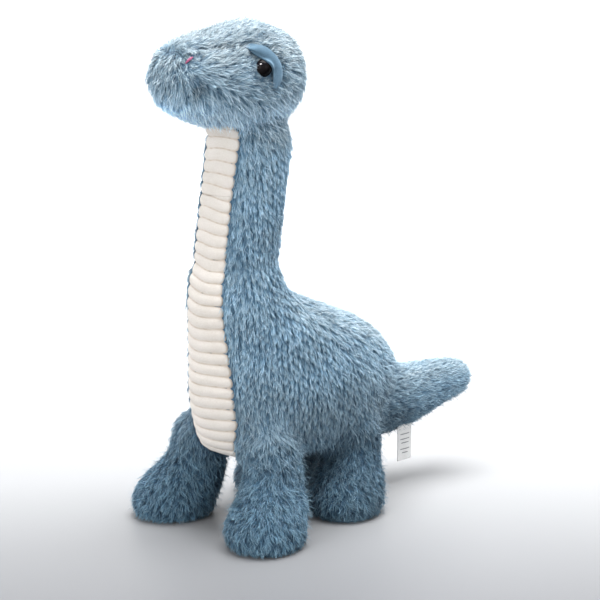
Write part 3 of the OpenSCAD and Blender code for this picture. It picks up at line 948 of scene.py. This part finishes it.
def make_fur():
    """Every strand in four groups, with the piece that it belongs to."""
    rows, loose = flank_rows(), scattered()
    places = np.concatenate([rows, loose])
    in_rows = np.arange(len(places)) < len(rows)
    covered, eye_far = near_eye(places[:, :3])
    covered |= nostril_far(places[:, :3]) < 1.2 * MM
    bare = covered | on_bib(places[:, :3]) | ((places[:, 5] < -0.6) & (places[:, 2] < 8 * MM))
    places, in_rows, eye_far = places[~bare], in_rows[~bare], eye_far[~bare]
    centres, normals = places[:, :3], unit(places[:, 3:])
    z = centres[:, 2]
    leg = 1 - ease(z, 50 * MM, 80 * MM)
    head = ease(z, 262 * MM, 285 * MM)
    ways = combed(centres, normals)
    parting = np.exp(-((norm(centres - PARTING, axis=1) / (16 * MM)) ** 2))
    stray = RNG.normal(0, 1, len(z)) * (0.10 + 0.28 * leg + 0.16 * head + 0.25 * parting)
    ways = unit(ways + stray[:, None] * np.cross(normals, ways))
    tone, crease = tone_with_painted_light(centres, normals)
    # painted shade: the fur darkens close round the eyes
    tone *= 0.9 + 0.1 * ease(eye_far, 7 * MM, 12 * MM)[:, None]
    vary = 1 - 0.3 * (1 - leg) - 0.15 * head - 0.25 * np.clip(normals[:, 2], 0, 1) * (1 - leg)
    shorter = (0.35 + 0.65 * ease(eye_far, 7 * MM, 20 * MM)) * (1 - 0.35 * crease)
    shorter *= 0.3 + 0.7 * ease(nostril_far(centres), 1.5 * MM, 8 * MM)
    length = np.interp(z / MM, PILE_HEIGHTS, PILE_LENGTHS) * MM * shorter
    lift = np.radians(RNG.uniform(15, 30, len(z)) + 14 * leg + 7 * head)
    lift *= 0.6 + 0.4 * ease(eye_far, 6 * MM, 17 * MM)

    def group(chosen, count, stations, tints, scale, raised, *shape):
        mottled = tone[chosen] * (1 + RNG.uniform(-0.12, 0.12, (chosen.sum(), 1)) * vary[chosen][:, None])
        lie = centres[chosen], normals[chosen], ways[chosen], mottled, vary[chosen]
        lengths, lifts = length[chosen] * scale, lift[chosen] * raised
        owner, points, shades = strands(lie, count, stations, tints, lengths, lifts, *shape)
        return piece_of(lie[0])[owner], points, shades

    picked = np.zeros(len(z), bool)
    picked[spread_out(centres, TUFT_GAP)] = True
    guard = ~in_rows & (RNG.random(len(z)) < 0.4 + 0.2 * head)
    # strands at a root, outline, tints, shares of length and lift, then as strands has them
    return [
        group(~in_rows, DOWN_STRANDS, SHORT, DOWN_TINTS, 0.62, 1.0, 2.0 * MM, 0.2, 0.60 * MM, 0.25),
        group(picked & in_rows, 20, FULL, FUR_TINTS, 0.88, 1.35, 1.8 * MM, 0.8, 0.44 * MM, 0.16),
        group(picked & ~in_rows, 16, FULL, FUR_TINTS, 1.0, 1.1, 1.9 * MM, 0.42, 0.38 * MM, 0.28),
        group(guard, 1, SHORT, GUARD_TINTS, 1.3, 2.1, 1.0 * MM, 0.0, 0.24 * MM, 0.4, 0.6),
    ]


BLENDS = {
    "head": HEAD_BLEND,
    "neck": NECK_BLEND,
    "tail": ("torso", "tail", (0, 0.034, 0.069), (0, 0.070, 0.066)),
    **{leg: ("torso", leg, (*LEG_PLACE[leg][:2], 0.062), (*LEG_PLACE[leg][:2], 0.030)) for leg in LEGS},
}


def attach(piece, name):
    """Leaves a piece that has a joint where it stands, or lets it ride on the torso."""
    blend = next((b for part, b in BLENDS.items() if name.startswith(part)), None)
    if blend:
        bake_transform(piece)
    else:
        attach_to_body(piece, "torso")


def nodes_of(name):
    """The nodes of the frame that a piece of the skin stands for."""
    if name.endswith("leg"):
        return [name + part for part in ("_stuffing", "_outer", "_inner")]
    side = name.split("_")[-1]
    if name.startswith("head"):
        middle = ["head_gusset", "head_chin"] if side == "left" else []
        return ["head_side_" + side, "head_stuffing"] + middle
    if name.startswith("torso"):
        return ["torso_side_" + side, "torso_stuffing"]
    return [name + part for part in ("_stuffing", "_side_left", "_side_right")]


def make_skin_pieces():
    names = piece_of(SKIN_POINTS[SKIN_QUADS].mean(1))
    for name in sorted(set(names)):
        quads = SKIN_QUADS[names == name]
        used, index = np.unique(quads, return_inverse=True)
        mesh = build_mesh(name + "_skin", SKIN_POINTS[used], [index.reshape(quads.shape)])
        piece = add_object(name + "_skin", mesh, BACKING)
        attach(piece, name)
        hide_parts(*nodes_of(name))


def make_fur_pieces():
    groups = make_fur()
    for name in sorted(set(groups[0][0])):
        mine = [(points[names == name], shades[names == name]) for names, points, shades in groups]
        piece = add_object(name + "_fur", fur_mesh(name + "_fur", mine), FUR)
        attach(piece, name)


make_skin_pieces()
make_fur_pieces()


# ---- eyes, lids, nostrils

def make_eyes():
    for side in SIDES:
        for node, material in (("eye_" + side, EYE), ("eye_washer_" + side, WASHER)):
            NODES[node].data.materials.clear()
            NODES[node].data.materials.append(material)


def make_lid(side):
    """A half moon of suede that rides up over the eye."""
    centre, forward, up, out = EYES[side]
    rows = []
    for along in np.linspace(0, 1, 41):
        row = []
        for across in np.linspace(0, 1, 15):
            a, b = lid_flat(along, across) * MM
            flat = centre + forward * a + up * b
            place, _ = onto_skin(flat + out * 20 * MM, -out)
            skin_height = (place - centre) @ out if place is not None else 0
            dome = sqrt(max(EYE_RADIUS ** 2 - a * a - b * b, 0)) - (EYE_RADIUS - EYE_RISE)
            rest = skin_height + (1.5 + 1.3 * sin(pi * min(across * 1.15, 1)) ** 0.7) * MM
            over = dome + 0.5 * MM if a * a + b * b < EYE_RADIUS ** 2 else -1
            high = max(rest, over) + 0.35 * MM * exp(-abs(rest - over) / MM)
            row.append(flat + out * (high + LID_THICK))
        rows.append(row)
    grid = np.array(rows)
    for _ in range(3):
        mean = (grid[:-2, 1:-1] + grid[2:, 1:-1] + grid[1:-1, :-2] + grid[1:-1, 2:]) / 4
        grid[1:-1, 1:-1] += 0.35 * (mean - grid[1:-1, 1:-1])
    if side == "left":
        grid = grid[::-1]
    mesh = thick(grid_mesh("eyelid", grid), LID_THICK)
    piece = add_object("eyelid_suede_" + side, mesh, SUEDE)
    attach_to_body(piece, "head")
    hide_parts("eyelid_" + side)


def make_nostril(side):
    """A few threads laid side by side over the seam of the snout."""
    inner, outer = nostril_ends(side)
    way = unit(outer - inner)
    out = unit(np.array([SIDES[side] * 0.75, -0.6, 0.3]))
    out = unit(out - (out @ way) * way)
    aside = np.cross(way, out)
    rings, turns = 13, 8
    points, quads = [], []
    for strand in range(5):
        offset = aside * (strand - 2) * 0.27 * MM
        start = len(points)
        for i, share in enumerate(np.linspace(0, 1, rings)):
            bend = sin(pi * share)
            middle = inner + (outer - inner) * (share * 0.9 + 0.05) + offset * (0.35 + 0.65 * bend)
            lies, _ = onto_skin(middle + out * 12 * MM, -out)
            rise = (1.5 * bend ** 0.6 - 0.12 * abs(strand - 2)) * MM
            middle = (lies if lies is not None else middle) + out * rise
            for k in range(turns):
                turn = 2 * pi * (k / turns + share * 0.7)
                points.append(middle + (aside * cos(turn) + out * sin(turn)) * 0.25 * MM)
        quads.append(np.roll(tube_quads(rings, turns, start)[:, ::-1], 1, axis=1))
    mesh = build_mesh("nostril", np.array(points), quads)
    piece = add_object("nostril_thread_" + side, mesh, THREAD)
    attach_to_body(piece, "head")
    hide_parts("nostril_" + side)


def make_soles():
    """Round pads of short cloth under the feet."""
    for leg in LEGS:
        node = leg.replace("_leg", "_sole")
        mesh = remeshed(joined([NODES[node].data]), 0.8 * MM)
        points = relax(points_of(mesh), edges_of(mesh), 8)
        points[:, 2] -= points[:, 2].min()
        set_points(mesh, points)
        mesh.shade_smooth()
        piece = add_object(leg.replace("_leg", "_sole_pad"), mesh, SUEDE)
        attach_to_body(piece, leg)
        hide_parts(node)


# Printed rules of the label: place down it and half width, as shares
LABEL_RULES = ((0.30, 0.34), (0.42, 0.34), (0.54, 0.26), (0.72, 0.34), (0.80, 0.20))


def make_label():
    """A folded satin label with plain printed rules."""
    low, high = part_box("label")
    width, drop = high[1] - low[1], high[2] - low[2]
    middle = (low[0] + high[0]) / 2
    rows, columns = 30, 17
    points = []
    for i in range(rows):
        for k in range(columns):
            down, across = i / (rows - 1), k / (columns - 1) - 0.5
            bow = 0.7 * MM * sin(2.4 * down) * cos(3 * across)
            bow += 0.25 * MM * sin(9 * across) * down
            points.append((middle + bow, (low[1] + high[1]) / 2 + across * width, high[2] - down * drop))
    grid = np.array(points).reshape(rows, columns, 3)
    mesh = thick(grid_mesh("label", grid), 0.3 * MM)
    piece = add_object("sewn_label", mesh, LABEL)
    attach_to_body(piece, "label_tab")
    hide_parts("label")
    rules, quads = [], []
    for at, half in LABEL_RULES:
        row = grid[int(at * (rows - 1))]
        for side, lift in ((-1, -0.42), (1, 0.12)):
            for k in range(columns - 1):
                if max(abs(c / (columns - 1) - 0.5) for c in (k, k + 1)) <= half:
                    quads.append(np.arange(len(rules), len(rules) + 4)[::side])
                    for c, rise in ((k, 0.3), (k + 1, 0.3), (k + 1, -0.3), (k, -0.3)):
                        rules.append(row[c] + np.array([lift, 0, rise]) * MM)
    marks = add_object("label_rules", build_mesh("rules", np.array(rules), [np.array(quads)]), PRINT)
    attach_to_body(marks, "label_tab")


make_eyes()
for head_side in SIDES:
    make_lid(head_side)
    make_nostril(head_side)
make_soles()
make_label()


# ---- studio

FLOOR_RADIUS, SWEEP_BEND, WALL_TOP = 1.6, 1.2, 3.4
CAMERA_WALL = (0.85, 1.0)  # how far towards the camera the sweep turns pale again


def sweep_mesh():
    """A round floor that turns up into a wall all round."""
    profile = [(0.0, 0.0), (0.3, 0.0), (0.8, 0.0), (FLOOR_RADIUS, 0.0)]
    for turn in np.linspace(0, np.pi / 2, 13)[1:]:
        profile.append((FLOOR_RADIUS + SWEEP_BEND * sin(turn), SWEEP_BEND * (1 - cos(turn))))
    profile.append((FLOOR_RADIUS + SWEEP_BEND, WALL_TOP))
    around = 96
    points = [(0, 0, 0)]
    for far, high in profile[1:]:
        for turn in np.linspace(0, 2 * np.pi, around, endpoint=False):
            points.append((far * cos(turn), far * sin(turn), high))
    first = 1 + np.arange(around)
    middle = np.stack([first, np.roll(first, -1), np.zeros(around, int)], -1)
    return build_mesh("sweep", np.array(points), [middle, tube_quads(len(profile) - 1, around, 1)])


def make_stage():
    """A white sweep with a painted glow behind the toy, painted shade that greys it in front, and pale
    beyond the camera.
    """
    made = Shader("studio_white", 0.42, Specular_IOR_Level=0.25, Emission_Strength=0.9)
    grain = made.noise(3.0, 2.0)
    where = made.node("SeparateXYZ", {"Vector": made.place()}).outputs
    behind = made.math("MULTIPLY", made.math("SUBTRACT", where["Y"], where["X"]), 0.7071)
    share = made.math("DIVIDE", made.math("ADD", behind, 0.3), 2.0)
    beyond = made.ramp(made.math("SUBTRACT", 0, behind), *zip(CAMERA_WALL, (grey(0), grey(0.8))))
    # painted shade: the floor greys towards the front
    front, near = (0.13, 0.134, 0.145, 1), (0.35, 0.355, 0.365, 1)
    tone = made.ramp(share, (0.0, front), (0.17, near), (0.5, grey(0.6)))
    tone = made.mix(beyond, tone, grey(0.5))
    made.link(made.mix(1.0, tone, made.ramp(grain, (0.3, grey(0.97)), (0.7, grey(1))), "MULTIPLY"))
    # painted glow: the sweep glows more the farther behind the toy it lies
    glow = made.ramp(share, (0.1, grey(0)), (0.28, grey(0.06)), (0.6, grey(0.6)), (0.9, grey(1)))
    made.link(glow, "Emission Color")
    add_object("studio_sweep", sweep_mesh(), made.material)


def add_light(name, place, target, size, power):
    light = bpy.data.lights.new(name, "AREA")
    light.shape = "DISK"
    light.size = size
    light.energy = power
    obj = bpy.data.objects.new(name, light)
    scene.collection.objects.link(obj)
    obj.location = place
    obj.rotation_euler = (Vector(target) - Vector(place)).to_track_quat("-Z", "Y").to_euler()
    return obj


MIDDLE, FACE = (0, -0.03, 0.17), (0, -0.08, 0.32)
# Place of each lamp, the place that it points at, its width and its power in watts
LAMPS = {
    "key": ((0.02, 0.10, 1.05), MIDDLE, 0.8, 22),
    "front": ((0.1, -1.3, 0.55), MIDDLE, 0.9, 9.5),
    "fill": ((1.3, 0.0, 0.6), MIDDLE, 0.9, 4),
    "catch": ((0.24, -0.97, 1.47), FACE, 0.5, 190),
}


def make_lights():
    """Soft light from above and all round, and a lamp that only the eyes receive."""
    world = bpy.data.worlds.new("studio")
    world.use_nodes = True
    sky = world.node_tree.nodes["Background"].inputs
    sky["Color"].default_value = (0.97, 0.985, 1.0, 1)
    sky["Strength"].default_value = 0.9
    scene.world = world
    scene.view_settings.view_transform = "Standard"
    lamps = {name: add_light(name, *values) for name, values in LAMPS.items()}
    eyes = bpy.data.collections.new("eyes")
    for side in SIDES:
        eyes.objects.link(NODES["eye_" + side])
    lamps["catch"].light_linking.receiver_collection = eyes


CAMERA_TARGET = Vector((0.010, -0.027, 0.154))
CAMERA_DISTANCE = 1.1
CAMERA_TURN, CAMERA_RISE = radians(45), radians(11)  # round to the left, and up


def make_camera():
    """The photograph's view of the toy."""
    data = bpy.data.cameras.new("camera")
    data.sensor_width = 36
    data.lens = 93.6
    camera = bpy.data.objects.new("camera", data)
    scene.collection.objects.link(camera)
    level = cos(CAMERA_RISE)
    back = Vector((sin(CAMERA_TURN) * level, -cos(CAMERA_TURN) * level, sin(CAMERA_RISE)))
    camera.location = CAMERA_TARGET + back * CAMERA_DISTANCE
    camera.rotation_euler = (-back).to_track_quat("-Z", "Y").to_euler()
    scene.camera = camera


make_stage()
make_lights()
make_camera()
